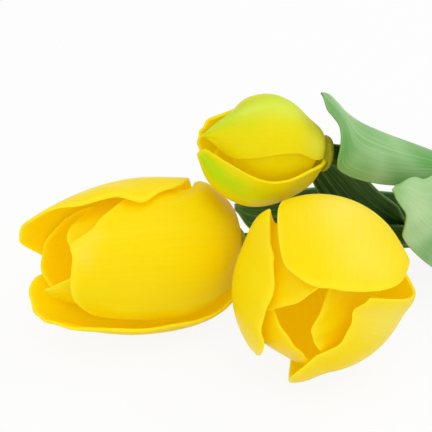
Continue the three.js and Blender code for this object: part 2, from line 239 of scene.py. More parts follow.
def newGroup(name, inputs, outputs):
    group = bpy.data.node_groups.new(name, "ShaderNodeTree")
    for label, kind, value in inputs:
        socket = group.interface.new_socket(label, in_out="INPUT", socket_type=kind)
        socket.default_value = value
    for label, kind in outputs:
        group.interface.new_socket(label, in_out="OUTPUT", socket_type=kind)
    return group, group.nodes.new("NodeGroupInput"), group.nodes.new("NodeGroupOutput")


def surfaceMap(tree):  # the surface's own map: across from side to side, and up from foot to tip
    uvMap = addNode(tree, "ShaderNodeUVMap", uv_map="surface")
    split = addNode(tree, "ShaderNodeSeparateXYZ")
    join(tree, uvMap.outputs["UV"], split.inputs[0])
    return split.outputs["X"], split.outputs["Y"]


# Fine lines that run from foot to tip: noise on the surface's own map, squeezed across it
def makeVeinGroup():
    group, source, result = newGroup(
        "fine veins",
        [("Across", "NodeSocketFloat", 60.0), ("Along", "NodeSocketFloat", 3.0)],
        [("Height", "NodeSocketFloat")],
    )
    across, up = surfaceMap(group)
    stretched = addNode(group, "ShaderNodeCombineXYZ")
    join(group, math(group, "MULTIPLY", across, source.outputs["Across"]), stretched.inputs["X"])
    join(group, math(group, "MULTIPLY", up, source.outputs["Along"]), stretched.inputs["Y"])
    noise = addNode(group, "ShaderNodeTexNoise")
    noise.inputs["Scale"].default_value = 1.0
    noise.inputs["Detail"].default_value = 3.0
    join(group, stretched.outputs[0], noise.inputs["Vector"])
    join(group, noise.outputs["Fac"], result.inputs["Height"])
    return group


# Slow cloudy variation through the moulding, in object space
def makeCloudGroup():
    group, source, result = newGroup(
        "moulding clouds", [("Scale", "NodeSocketFloat", 60.0)], [("Cloud", "NodeSocketFloat")],
    )
    place = addNode(group, "ShaderNodeTexCoord")
    noise = addNode(group, "ShaderNodeTexNoise")
    noise.inputs["Detail"].default_value = 2.0
    join(group, place.outputs["Object"], noise.inputs["Vector"])
    join(group, source.outputs["Scale"], noise.inputs["Scale"])
    join(group, noise.outputs["Fac"], result.inputs["Cloud"])
    return group


veinGroup = makeVeinGroup()
cloudGroup = makeCloudGroup()


def useGroup(tree, group, **values):
    node = addNode(tree, "ShaderNodeGroup", node_tree=group)
    for key, value in values.items():
        node.inputs[key].default_value = value
    return node


def addCloud(tree, skin):
    return useGroup(tree, cloudGroup, Scale=skin["clouds"]).outputs["Cloud"]


def addGrain(tree, skin):  # a finish's own veins and clouds
    across, up = skin["veins"]
    veins = useGroup(tree, veinGroup, Across=across, Along=up).outputs["Height"]
    return veins, addCloud(tree, skin)


def addBump(tree, shader, height, skin):
    bump = addNode(tree, "ShaderNodeBump")
    bump.inputs["Strength"].default_value, bump.inputs["Distance"].default_value = skin["bump"]
    join(tree, height, bump.inputs["Height"])
    join(tree, bump.outputs["Normal"], shader.inputs["Normal"])


# Petal colours; the pale colour of each is a painted sheen, laid on in patches
petalFinish = {
    # through is the colour of a painted glow that stands in for daylight coming through the thin wall
    "outer_petal": {
        "outside": linear(248, 215, 2), "inside": linear(247, 211, 1), "edge": linear(252, 226, 40),
        "foot": linear(244, 202, 0), "green": linear(206, 216, 20), "paintedSheen": linear(254, 236, 120),
        "through": linear(205, 196, 0),
    },
    "inner_petal": {
        "outside": linear(247, 211, 1), "inside": linear(246, 207, 0), "edge": linear(251, 222, 30),
        "foot": linear(243, 194, 0), "green": linear(206, 216, 20), "paintedSheen": linear(254, 232, 90),
        "through": linear(200, 190, 0),
    },
    "bud_petal": {
        "outside": linear(232, 214, 2), "inside": linear(238, 206, 0), "edge": linear(238, 216, 16),
        "foot": linear(232, 206, 4), "green": linear(166, 214, 14), "paintedSheen": linear(218, 240, 104),
        "through": linear(200, 192, 0),
    },
}


noiseSpan = (0.3, 0.7)  # where veins and clouds go from dark to light

petalSkin = {
    "veins": (46.0, 2.4), "clouds": 70.0, "footSpan": (0.28, 0.0), "footShare": (0.0, 0.7),
    "patchSpan": (0.25, 0.7), "patchShare": (0.6, 1.0), "streakSpan": (0.35, 0.75), "streakShare": 0.2,
    "edgeShare": 0.7, "roughness": (0.36, 0.48), "gloss": 0.09,
    "softWeight": 0.25, "softRadius": (1.0, 0.6, 0.05), "softScale": 0.004,
    "glow": 0.28, "glowLostOutside": 0.65, "veinHeight": 0.6, "cloudHeight": 0.8, "bump": (0.16, 0.001),
}


# Petal skin: colour goes from a deeper foot to the blade, is deeper inside than outside and pale on
# the edge; green patches and patches of painted sheen lie where the petal's own marks say, on the outside
# only and streaked by the fine veins. A painted gold glow, fainter outside, stands in for daylight through the
# thin wall.
def makePetalMaterial(slot):
    finish, skin = petalFinish[slot], petalSkin
    material, tree, shader = newMaterial(slot)
    _, up = surfaceMap(tree)
    veins, cloud = addGrain(tree, skin)
    outside = attribute(tree, "outside")
    colour = blendColour(tree, outside, finish["inside"], finish["outside"])
    colour = blendColour(tree, ramp(tree, up, skin["footSpan"], skin["footShare"]), colour, finish["foot"])
    patchy = math(tree, "MULTIPLY", ramp(tree, cloud, skin["patchSpan"], skin["patchShare"]), outside)
    patchy = math(tree, "MULTIPLY", patchy, ramp(tree, veins, noiseSpan, skin["patchShare"]))
    # green patches are the petal's own tint; the pale ones are a painted sheen
    for mark in ("green", "paintedSheen"):
        patch = math(tree, "MULTIPLY", attribute(tree, mark), patchy)
        colour = blendColour(tree, patch, colour, finish[mark])
    streak = math(tree, "MULTIPLY", ramp(tree, veins, skin["streakSpan"]), skin["streakShare"])
    colour = blendColour(tree, streak, colour, finish["edge"])
    edge = math(tree, "MULTIPLY", attribute(tree, "edge"), skin["edgeShare"])
    join(tree, blendColour(tree, edge, colour, finish["edge"]), shader.inputs["Base Color"])
    join(tree, ramp(tree, cloud, noiseSpan, skin["roughness"]), shader.inputs["Roughness"])
    shader.inputs["Subsurface Weight"].default_value = skin["softWeight"]
    shader.inputs["Subsurface Radius"].default_value = skin["softRadius"]
    shader.inputs["Subsurface Scale"].default_value = skin["softScale"]
    shader.inputs["Specular IOR Level"].default_value = skin["gloss"]
    # painted glow: the through colour glows, fainter on the outer faces, to light the shaded inside of the cup
    lost = math(tree, "MULTIPLY", outside, skin["glowLostOutside"])
    join(tree, blendColour(tree, lost, finish["through"], (0.0, 0.0, 0.0)), shader.inputs["Emission Color"])
    shader.inputs["Emission Strength"].default_value = skin["glow"]
    veinHeight = math(tree, "MULTIPLY", veins, skin["veinHeight"])
    cloudHeight = math(tree, "MULTIPLY", cloud, skin["cloudHeight"])
    addBump(tree, shader, math(tree, "ADD", veinHeight, cloudHeight), skin)
    return material


leafSkin = {
    # the inside's deep greens are the leaf's own darker face, deepened further as painted shade
    "bloom": (linear(80, 158, 58), linear(196, 228, 172)), "deepAndShaded": (linear(34, 76, 12), linear(62, 112, 36)),
    "vein": linear(212, 234, 190), "foot": linear(58, 100, 22), "edge": linear(160, 206, 130),
    "veins": (34.0, 1.6), "clouds": 30.0, "veinSpan": (0.45, 0.75), "veinShare": 0.26,
    "footSpan": (0.22, 0.0), "footShare": (0.0, 0.85), "edgeShare": 0.35,
    "roughness": (0.42, 0.56), "gloss": 0.2, "bump": (0.2, 0.0012),
}


# Leaf skin: pale bloom outside, a deeper green inside that is partly its own and partly painted shade, parallel
# veins, a dark foot and a lighter margin
def makeLeafMaterial():
    skin = leafSkin
    material, tree, shader = newMaterial("leaf")
    _, up = surfaceMap(tree)
    veins, cloud = addGrain(tree, skin)
    light = ramp(tree, cloud, noiseSpan)
    bloom, deepAndShaded = [blendColour(tree, light, *skin[side]) for side in ("bloom", "deepAndShaded")]
    # the inner faces take the deep greens: their own darker colour with painted shade
    colour = blendColour(tree, attribute(tree, "outside"), deepAndShaded, bloom)
    vein = math(tree, "MULTIPLY", ramp(tree, veins, skin["veinSpan"]), skin["veinShare"])
    colour = blendColour(tree, vein, colour, skin["vein"])
    colour = blendColour(tree, ramp(tree, up, skin["footSpan"], skin["footShare"]), colour, skin["foot"])
    edge = math(tree, "MULTIPLY", attribute(tree, "edge"), skin["edgeShare"])
    join(tree, blendColour(tree, edge, colour, skin["edge"]), shader.inputs["Base Color"])
    join(tree, ramp(tree, cloud, noiseSpan, skin["roughness"]), shader.inputs["Roughness"])
    shader.inputs["Specular IOR Level"].default_value = skin["gloss"]
    addBump(tree, shader, veins, skin)
    return material


stemSkin = {
    "stem": {"dark": linear(42, 76, 2), "light": linear(76, 114, 10), "roughness": (0.39, 0.53)},
    "receptacle": {"dark": linear(172, 178, 30), "light": linear(208, 206, 48), "roughness": (0.49, 0.63)},
    "veins": (22.0, 9.0), "clouds": 90.0, "patchSpan": (0.25, 0.75), "patchShare": (0.35, 1.0),
    "gloss": 0.16, "bump": (0.25, 0.0008),
}


# Stem and receptacle skin: streaked along its length, in patches
def makeStemMaterial(slot):
    skin, finish = stemSkin, stemSkin[slot]
    material, tree, shader = newMaterial(slot)
    veins, cloud = addGrain(tree, skin)
    patch = ramp(tree, cloud, skin["patchSpan"], skin["patchShare"])
    shade = math(tree, "MULTIPLY", ramp(tree, veins, noiseSpan), patch)
    join(tree, blendColour(tree, shade, finish["dark"], finish["light"]), shader.inputs["Base Color"])
    join(tree, ramp(tree, cloud, noiseSpan, finish["roughness"]), shader.inputs["Roughness"])
    shader.inputs["Specular IOR Level"].default_value = skin["gloss"]
    addBump(tree, shader, veins, skin)
    return material


wireSkin = {
    "dark": (0.34, 0.34, 0.35), "light": (0.62, 0.62, 0.63), "clouds": 220.0,
    "roughness": (0.28, 0.45), "metal": 1.0, "bump": (0.1, 0.0003),
}


# Drawn steel: a little darker and smoother in patches
def makeWireMaterial():
    skin = wireSkin
    material, tree, shader = newMaterial("wire")
    cloud = addCloud(tree, skin)
    join(tree, blendColour(tree, cloud, skin["dark"], skin["light"]), shader.inputs["Base Color"])
    join(tree, ramp(tree, cloud, noiseSpan, skin["roughness"]), shader.inputs["Roughness"])
    shader.inputs["Metallic"].default_value = skin["metal"]
    addBump(tree, shader, cloud, skin)
    return material


tapeSkin = {
    "hollow": linear(64, 104, 40), "crest": linear(112, 152, 72), "worn": linear(58, 92, 34),
    "veins": (150.0, 5.0), "clouds": 150.0, "crestSpan": (0.35, 0.7), "wornSpan": (0.4, 0.8),
    "wornShare": (0.0, 0.35), "roughness": (0.6, 0.75), "bump": (0.5, 0.001),
}


# Waxed crepe tape: crinkles that cross the winding, paler on their crests
def makeTapeMaterial():
    skin = tapeSkin
    material, tree, shader = newMaterial("tape")
    crinkle, cloud = addGrain(tree, skin)
    colour = blendColour(tree, ramp(tree, crinkle, skin["crestSpan"]), skin["hollow"], skin["crest"])
    colour = blendColour(tree, ramp(tree, cloud, skin["wornSpan"], skin["wornShare"]), colour, skin["worn"])
    join(tree, colour, shader.inputs["Base Color"])
    join(tree, ramp(tree, cloud, noiseSpan, skin["roughness"]), shader.inputs["Roughness"])
    addBump(tree, shader, crinkle, skin)
    return material


finishes = {slot: makePetalMaterial(slot) for slot in petalFinish}
finishes["leaf"] = makeLeafMaterial()
for plainSlot in ("stem", "receptacle"):
    finishes[plainSlot] = makeStemMaterial(plainSlot)
finishes["wire"] = makeWireMaterial()
finishes["tape"] = makeTapeMaterial()
print("materials made:", ", ".join(finishes))


# flowers

petalCommon = {
    "seatRadius": 5.3, "thickness": 1.0, "pitch": 1.8, "tipPower": 1.8, "leanPower": 1.5,
    "fullWidthAt": 0.5, "curlFrom": 0.7, "setInBy": 0.22, "flareUp": (0.45, 0.85), "flareAcross": 0.55,
    "ripple": 0.25, "ripplesUp": 3.4, "ripplesAcross": 1.9, "rippleWithin": 0.6, "rippleUp": (0.3, 0.5),
    "rippleTip": 0.75, "between": 120, "innerSteps": 1.5, "sideEdge": 0.94, "tipEdge": 0.95,
    "gridUp": 60, "gridAcross": 48, "profileSteps": 200, "slopeStep": 0.002,
}

# A petal's low and high sides each give: degrees wider than half the span, the share of the length
# that the tip's corner loses, how far the edge lies over its neighbour, and its flare.
# tip adds millimetres along the tip's edge, from side to side; lowSide and highSide add degrees up
# the edges; folds are (up, across, reach up, reach across, height); green and the painted sheen are
# the same as patches of colour, green being a tint of the petal. A petal is plain where its own entry says
# nothing.
plainPetal = {
    "turn": 0, "cut": 0, "depth": 0, "lean": 0, "curl": 0,
    "tip": level, "lowSide": level, "highSide": level, "folds": [], "green": [], "paintedSheen": [],
}
heads = {
    "half_open": {
        "belly": 23.2, "bellyHeight": 27, "fullness": 0.64, "mouth": 13.5, "mouthLean": -6, "height": 65,
        "seatSpan": 104, "spans": {"outer": 114, "inner": 112}, "roll": 29,
        "outer": [
            {"turn": 12, "cut": 8, "depth": 2.1, "lean": 0.5,
             "low": (17, 0.05, 1.2, 0), "high": (16, 0.66, -1.2, 0),
             "lowSide": [(0, 0), (0.15, 15), (0.3, 21), (0.42, 13), (0.5, 13), (0.62, 7), (0.78, 13),
                         (1, 12)],
             "highSide": [(0, 0), (0.06, 6), (0.11, 17), (0.16, 30), (0.23, 12), (0.28, -4), (0.34, -24),
                          (0.4, -27), (0.46, -17), (0.55, -10), (1, -10)],
             "tip": [(-1, -6), (-0.95, -4.2), (-0.81, -1), (-0.59, 0.8), (-0.31, 0.3), (-0.1, -0.4), (0, 0),
                     (0.12, -2.3), (0.2, -5.8), (0.33, -6.5), (0.45, -9), (0.7, -8), (1, 0)],
             "folds": [(0.24, 0.9, 0.14, 0.35, 2.0)],
             "paintedSheen": [(0.86, -0.1, 0.05, 0.16, 0.4), (0.8, 0.1, 0.04, 0.1, 0.3)]},
            {"turn": 14, "lean": -2,
             "low": (28, 0.2, 2.8, 1), "high": (-14, 0.2, 0, 1),
             "lowSide": [(0, 0), (0.08, -8), (0.15, -32), (0.23, -38), (0.3, -18), (0.37, -4), (0.5, 3),
                         (0.59, 11), (0.67, 2), (0.75, 0), (1, 0)],
             "tip": [(-1, 0), (-0.6, 0), (-0.31, -0.4), (0, -1.2), (0.31, -1), (0.59, -2.2), (0.81, -3.8),
                     (1, -4.5)],
             "folds": [(0.24, -0.7, 0.13, 0.6, -3.8)]},
            {"cut": 1, "lean": 1, "curl": 1,
             "low": (-4, 0.2, 0, 1), "high": (-2, 0.2, 0.6, 1.6),
             "tip": [(-1, 0), (-0.9, 1.2), (-0.75, 0.6), (-0.5, -1.2), (-0.31, -2.4), (0, -3.2),
                     (0.31, -2.4), (0.7, -0.8), (1, 0)]},
        ],
        "inner": [
            {"turn": -32, "cut": 2.5, "depth": 3, "lean": -0.5,
             "low": (0, 0.18, 0, 0), "high": (-6, 0.4, 0, 0),
             "tip": [(-1, -5), (0, -5.4), (0.5, -4.6), (1, -4)]},
            {"cut": 6, "depth": 0.4, "lean": -0.8,
             "low": (0, 0.26, 0, 0), "high": (0, 0.26, 0, 0),
             "tip": [(-1, 0), (-0.5, -1), (-0.2, -2.2), (0.2, -1.6), (0.5, -0.4), (1, 0)]},
            {"cut": 4, "depth": 2.4, "lean": -0.6,
             "low": (0, 0.26, 0, 0), "high": (0, 0.26, 0, 0),
             "tip": [(-1, 0), (-0.6, 2), (-0.3, 3.4), (0, 1.4), (0.4, 0), (1, 0)]},
        ],
    },
    "bud": {
        "belly": 16.2, "bellyHeight": 18, "fullness": 0.52, "mouth": 2.2, "mouthLean": -7, "height": 39.5,
        "seatSpan": 100, "spans": {"outer": 114, "inner": 112}, "roll": 72,
        "outer": [
            {"depth": 1.6, "lean": 1.4, "curl": -1.6,
             "low": (8, 0, 0, 0), "high": (0, 0.14, 0, 0),
             "lowSide": [(0, 10), (0.12, 10), (0.3, -6), (0.46, -7), (0.57, 0), (0.68, 10), (0.79, 24),
                         (0.88, 27), (0.95, 20), (1, 10)],
             "folds": [(0.78, 1, 0.22, 0.8, -2.4), (0.12, 1, 0.17, 0.9, -2.4)],
             "green": [(0.5, 0.25, 0.42, 0.5, 1.25), (0.9, 0.2, 0.15, 0.4, 0.8)],
             "paintedSheen": [(0.45, 0.05, 0.28, 0.28, 0.85), (0.66, 0.1, 0.1, 0.16, 0.45),
                      (0.9, 0.2, 0.1, 0.2, 0.4), (0.14, -0.55, 0.12, 0.5, 0.6)]},
            {"cut": 5,
             "low": (0, 0.14, 0, 0), "high": (0, 0.14, 0, 0),
             "folds": [(0.7, -1, 0.2, 0.6, -1.6), (1, -0.85, 0.2, 0.4, 2.2)],
             "green": [(0.8, -0.8, 0.4, 0.6, 0.7)], "paintedSheen": [(0.85, -0.8, 0.3, 0.5, 0.5)]},
            {"cut": 1.5, "depth": -0.2, "lean": 1.6, "curl": -2.4,
             "low": (0, 0.14, 0, 0), "high": (-20, 0.04, 0, 0),
             "highSide": [(0, 0), (0.5, 0), (0.7, 4), (0.85, 12), (1, 16)],
             "folds": [(0.75, -0.1, 0.3, 0.9, 2.4), (0.2, 0.6, 0.17, 0.7, -2.4)],
             "green": [(0.7, 0.5, 0.3, 0.36, 1.15), (0.95, 0.2, 0.2, 0.6, 0.7)]},
        ],
        "inner": [
            {"cut": 9, "depth": 1.6,
             "low": (0, 0.16, 0, 0), "high": (0, 0.16, 0, 0)},
            {"cut": 9, "depth": 0.6,
             "low": (0, 0.16, 0, 0), "high": (0, 0.16, 0, 0)},
            {"cut": 9, "depth": 1.6, "lean": 0.2,
             "low": (0, 0.16, 0, 0), "high": (0, 0.16, 0, 0)},
        ],
    },
    "open": {
        "belly": 25.4, "bellyHeight": 23, "fullness": 0.55, "mouth": 13.5, "mouthLean": -9, "height": 50,
        "seatSpan": 74, "spans": {"outer": 106, "inner": 104}, "roll": 64,
        "outer": [
            {"turn": 12, "cut": 2.6, "depth": -1.4, "lean": -2,
             "low": (0, 0.12, 0, 2), "high": (-12, 0.1, 0, 0),
             "lowSide": [(0, 0), (0.5, 0), (0.75, -5), (1, -6)],
             "highSide": [(0, 0), (0.5, 0), (0.7, 4), (0.88, 6), (1, 3)],
             "tip": [(-1, -5), (-0.95, -3.5), (-0.81, -1.3), (-0.59, 0), (-0.31, 1), (0, 1.5), (0.31, 1.7),
                     (0.59, 2), (0.81, 1), (1, -2.5)],
             "folds": [(0.74, 0.4, 0.05, 0.25, 0.5), (0.81, 0.1, 0.05, 0.25, 0.5)],
             "paintedSheen": [(0.58, 0.05, 0.24, 0.4, 0.55), (0.82, -0.4, 0.12, 0.4, 0.4)]},
            {"cut": 6.5, "lean": 0.8,
             "low": (2, 0.15, 0, 0.6), "high": (-14, 0.24, 0, 0),
             "lowSide": [(0, 0), (0.2, 5), (0.36, 7), (0.5, 3), (0.62, 0), (1, 0)],
             "tip": [(-1, -1.2), (-0.95, -1.2), (-0.81, 0.8), (-0.59, 1.5), (-0.31, 0), (0, -1.4),
                     (0.31, -0.6), (0.59, 0.2), (0.81, -1.5), (1, -4)],
             "folds": [(0.36, -0.9, 0.16, 0.3, 2.6)],
             "paintedSheen": [(0.75, 0.7, 0.25, 0.3, 0.5)]},
            {"turn": 12, "cut": 2, "depth": -2.4, "lean": -9.6, "curl": -2.5,
             "low": (6, 0.16, 0, 5), "high": (-6, 0.04, 0, 4.5),
             "highSide": [(0, 0), (0.3, -3), (0.55, -9), (0.75, -4), (0.9, 4), (1, 12)],
             "folds": [(0.97, 1, 0.22, 0.75, -5), (0.97, -1, 0.2, 0.4, -4)],
             "paintedSheen": [(0.75, 0.55, 0.28, 0.4, 0.7)]},
        ],
        "inner": [
            {"cut": 4, "lean": -2,
             "low": (0, 0.2, 0, 0), "high": (0, 0.2, 0, 0),
             "tip": [(-1, 1), (0, 1.2), (0.35, 1.7), (0.65, 0.8), (1, 0)]},
            {"turn": -18, "cut": 4, "lean": -3.2,
             "low": (0, 0.16, 0, 0), "high": (-12, 0.2, 0, 0),
             "highSide": [(0, 6), (0.2, 16), (0.4, 16), (0.6, 6), (0.8, 0), (1, 0)],
             "folds": [(0.7, -0.4, 0.22, 0.35, 2), (0.71, 1, 0.12, 0.3, -1.3)],
             "tip": [(-1, 0), (-0.3, 0), (0, -1), (0.5, -2), (1, -2)]},
            {"turn": 6, "cut": 2, "lean": -17,
             "low": (-6, 0.16, 0, 0), "high": (-8, 0.36, 0, 0),
             "lowSide": [(0, 0), (0.3, 6), (0.55, 5), (0.8, -3), (1, -5)],
             "tip": [(-1, 3), (-0.8, 3), (-0.4, 2.2), (0, 2), (0.4, 1), (1, 0)]},
        ],
    },
}


def headPlace(name):  # a flower's seat and its three directions: level across, over, and its axis
    joint = joints[name + "_head"]
    axis = unit(np.array(joint["axis"], float))
    across = unit(np.cross([0, 0, 1], axis))
    return np.array(joint["pos_m"], float), np.stack([across, np.cross(axis, across), axis])


def headProfile(head):  # radius and height from seat to mouth: a round shoulder, then a closing curve
    seat, steps = petalCommon["seatRadius"], petalCommon["profileSteps"]
    belly, low, mouth, tall = head["belly"], head["bellyHeight"], head["mouth"], head["height"]
    full, third = head["fullness"], (tall - low) / 3
    shoulder = [(seat, 0), (seat + full * (belly - seat), 0), (belly, low * (1 - full)), (belly, low)]
    closing = [(belly, low), (belly, low + third), (mouth - head["mouthLean"], tall - third), (mouth, tall)]
    return np.concatenate([bezier(shoulder, steps), bezier(closing, steps)[1:]])


def patches(up, across, listed):  # the sum of soft round patches on a petal's own map
    total = np.zeros(np.broadcast(up, across).shape)
    for placeUp, placeAcross, reachUp, reachAcross, amount in listed:
        total += amount * bell(up, placeUp, reachUp) * bell(across, placeAcross, reachAcross)
    return total


# One petal: an arc of the head's profile turned about its axis, moved along the profile's normal by
# the layer's place, the winding, the depth, the lap, the tip's curl, the edges' flare, the folds and
# two sine ripples, along the sides and across the tip; then leaned outwards along its own middle.
def petalSurface(head, petal, layer):
    common = petalCommon
    profile = headProfile(head)
    _, length = arcShares(profile)
    v = np.sin(np.pi / 2 * np.linspace(-1, 1, common["gridAcross"] + 1))[None, :]
    corner = (1 - np.abs(v) ** common["tipPower"]) ** (1 / common["tipPower"])
    wider, corners, lap, flare = [np.where(v < 0, *pair) for pair in zip(petal["low"], petal["high"])]
    reach = 1 - petal["cut"] / length - corners * (1 - corner)
    reach = reach + curveThrough(v, petal["tip"]) / length
    share = np.linspace(0, 1, common["gridUp"] + 1)[:, None]
    t = share * reach
    aside = np.where(v < 0, curveThrough(t, petal["lowSide"]), curveThrough(t, petal["highSide"]))
    fullHalf = head["spans"][layer] / 2 + wider
    angle = (mix(head["seatSpan"] / 2, fullHalf, smooth(t, 0, common["fullWidthAt"])) + aside) * v
    place = along(profile, t)
    step = common["slopeStep"]
    slope = unit(along(profile, np.clip(t + step, 0, 1)) - along(profile, np.clip(t - step, 0, 1)))
    nearEdge = smooth(np.abs(v), common["flareAcross"], 1)
    offset = common["pitch"] * (angle / common["between"] - (common["innerSteps"] if layer == "inner" else 0))
    offset = offset + (lap * nearEdge - petal["depth"]) * smooth(t, 0, common["setInBy"])
    offset = offset + petal["curl"] * smooth(t, common["curlFrom"], 1) ** 2
    offset = offset + flare * nearEdge * smooth(t, *common["flareUp"])
    offset = offset + patches(t, v, petal["folds"])
    phase = petal["turn"] + petal["cut"]
    sideRim = smooth(np.abs(v), common["rippleWithin"], 1) * smooth(t, *common["rippleUp"])
    sideWave = np.sin(tau * common["ripplesUp"] * t + phase + v)
    tipRim = smooth(share, common["rippleTip"], 1)
    tipWave = np.sin(tau * common["ripplesAcross"] * v + 2 * phase)
    offset = offset + common["ripple"] * (sideRim * sideWave + tipRim * tipWave)
    radius = place[..., 0] + slope[..., 1] * offset
    height = place[..., 1] - slope[..., 0] * offset
    turn, lean = np.radians(angle), petal["lean"] * t ** common["leanPower"]
    surface = np.stack([radius * np.cos(turn) + lean, radius * np.sin(turn), height], axis=-1)
    uv = np.stack([(v + 1) / 2 * np.ones_like(t), t], axis=-1)
    # where the green tint and the painted sheen lie
    marks = {mark: patches(t, v, petal[mark]) for mark in ("green", "paintedSheen")}
    marks["edge"] = np.maximum(smooth(np.abs(v), common["sideEdge"], 1), smooth(share, common["tipEdge"], 1))
    return surface, uv, marks


def makeHead(name):
    head = heads[name]
    seat, frameAxes = headPlace(name)
    thickness = petalCommon["thickness"] * mm
    for layer, first in (("outer", 0), ("inner", 0.5)):
        slot = "bud_petal" if name == "bud" else layer + "_petal"
        for k, own in enumerate(head[layer]):
            petal = {**plainPetal, **own}
            surface, uv, marks = petalSurface(head, petal, layer)
            turn = head["roll"] + petalCommon["between"] * (k + first) + petal["turn"]
            world = seat + surface * mm @ spun(turn) @ frameAxes
            node = f"{name}_{layer}_petal_{k + 1}"
            piece = shellPiece(node + "_skin", world, thickness, uv, marks, finishes[slot])
            dress(piece, node)
    print("flower made:", name)


for headName in heads:
    makeHead(headName)


# receptacles, stems, wires and the tape band

plug = {
    "socketRadius": 3.5, "socketWall": 1.3, "socketDepth": 9, "crownWall": 2.2,
    "collarHeight": 2, "collarLip": 0.6, "collarRim": 0.2, "collarSwell": (0.3, 0.4), "seatDrop": 0.6,
    "seatGap": 0.3, "footGap": 0.5, "crownRound": (0.7, 1.6), "crownFlat": 0.4, "sides": 48, "curveSteps": 12,
}


def ringQuads(index):  # quads between following rings of an index grid that closes round its sides
    around = np.roll(index, -1, axis=1)
    return np.stack([index[:-1], around[:-1], around[1:], index[1:]], axis=-1).reshape(-1, 4)


def ringUv(rings, sides):
    across, up = np.meshgrid(np.linspace(0, 1, sides), np.linspace(0, 1, rings))
    return np.stack([across, up], axis=-1).reshape(-1, 2)


# Rings carried along a path and back inside, so that the last ring joins the first: a hollow bar
def loopPiece(node, points, slot):
    rings, sides, _ = points.shape
    index = np.arange(rings * sides).reshape(rings, sides)
    quads = ringQuads(np.concatenate([index, index[:1]]))
    flat, uv = points.reshape(-1, 3), ringUv(rings, sides)
    dress(newPiece(node + "_skin", flat, quads, uv, {}, finishes[slot]), node)


# The plug under a flower: its outline, as radius and height, turned about the flower's axis, with
# the outline's two ends on the axis as poles
def makeReceptacle(name):
    p = plug
    neck = p["socketRadius"] + p["socketWall"]
    spread = petalCommon["pitch"] * heads[name]["seatSpan"] / 2 / petalCommon["between"]
    top = -(p["seatDrop"] + spread + p["seatGap"])
    foot = top - p["collarHeight"]
    rim = neck + p["footGap"] + p["collarRim"]
    crown = p["socketDepth"] + p["crownWall"]
    lip = p["socketRadius"] + p["collarLip"]
    (swellIn, swellDown), (roundDown, roundIn), waist = p["collarSwell"], p["crownRound"], (foot + top) / 2
    under = [(lip, foot), (rim - swellIn, waist - swellDown), (rim, waist), (rim, top)]
    depth = p["socketDepth"]
    over = [(neck, depth), (neck, crown - roundDown), (neck - roundIn, crown), (p["crownFlat"], crown)]
    collar, dome = bezier(under, p["curveSteps"]), bezier(over, p["curveSteps"])
    bore = np.array([(p["socketRadius"], depth), (p["socketRadius"], foot)])
    outline = np.concatenate([bore, collar, [(neck, top)], dome])
    angle = np.linspace(0, tau, p["sides"], endpoint=False)[None, :]
    radius, height = outline[:, :1], outline[:, 1:] * np.ones_like(angle)
    local = np.stack([radius * np.cos(angle), radius * np.sin(angle), height], axis=-1)
    poles = np.array([(0, 0, depth), (0, 0, crown)])
    seat, frameAxes = headPlace(name)
    points = seat + np.concatenate([local.reshape(-1, 3), poles]) * mm @ frameAxes
    rings, sides, _ = local.shape
    index = np.arange(rings * sides).reshape(rings, sides)
    first, last = index[0], index[-1]
    fans = [np.stack([np.full(sides, rings * sides), np.roll(first, -1), first], axis=-1),
            np.stack([last, np.roll(last, -1), np.full(sides, rings * sides + 1)], axis=-1)]
    faces = ringQuads(index).tolist() + np.concatenate(fans).tolist()
    uv = np.concatenate([ringUv(rings, sides), [(0.5, 0), (0.5, 1)]])
    node = name + "_receptacle"
    piece = newPiece(node + "_skin", points, faces, uv, {}, finishes["receptacle"])
    dress(piece, node)


stems = {
    "radius": 3.2, "bore": 1.5, "tipInSocket": 8.7, "fanStart": 8, "fanBend": 30, "spacing": 6.7,
    "bundleLift": 4.4, "cutRound": 0.35, "sides": 32, "rings": 160, "ribs": 5, "ribHeight": 0.05,
    "bendSteps": 40, "offAxis": (0.3, 0.2, 1),
    "half_open": {"neck": 36, "neckBend": 16, "end": 92, "bundle": (0.5, 0)},
    "bud": {"neck": 16, "neckBend": 8, "end": 99, "bundle": (0, 1)},
    "open": {"neck": 15, "neckBend": 9, "end": 95, "bundle": (-0.5, 0)},
}


# A stem's centre line: straight runs from the flower to the band, with both corners rounded
def stemLine(name):
    own = stems[name]
    seat, frameAxes = headPlace(name)
    low, high = [np.array(corner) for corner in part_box("tape_band")]
    aside, up = own["bundle"]
    spacing = stems["spacing"] * mm
    y = (low[1] + high[1]) / 2 + aside * spacing
    z = low[2] + stems["bundleLift"] * mm + up * spacing * np.sin(np.pi / 3)
    middle = (low[0] + high[0]) / 2
    tip = seat + frameAxes[2] * stems["tipInSocket"] * mm
    neck = seat - frameAxes[2] * own["neck"] * mm
    fan = np.array([low[0] - (stems["fanStart"] + stems["fanBend"] / 2) * mm, y, z])
    end = np.array([middle + own["end"] * mm, y, z])

    def bendAt(corner, before, after, reach):
        start = corner + unit(before - corner) * reach * mm
        stop = corner + unit(after - corner) * reach * mm
        return bezier([start, mix(start, corner, 2 / 3), mix(stop, corner, 2 / 3), stop], stems["bendSteps"])

    bends = [bendAt(neck, tip, fan, own["neckBend"]), bendAt(fan, neck, end, stems["fanBend"] / 2)]
    return np.concatenate([tip[None], *bends, end[None]])


def carried(line):  # directions across a line, without twist: each follows the last one, row by row
    forward = unit(np.gradient(line, axis=0))
    side = np.empty_like(line)
    side[0] = unit(np.cross(forward[0], stems["offAxis"]))
    for k in range(1, len(line)):
        side[k] = unit(side[k - 1] - forward[k] * np.dot(side[k - 1], forward[k]))
    return forward, side, np.cross(forward, side)


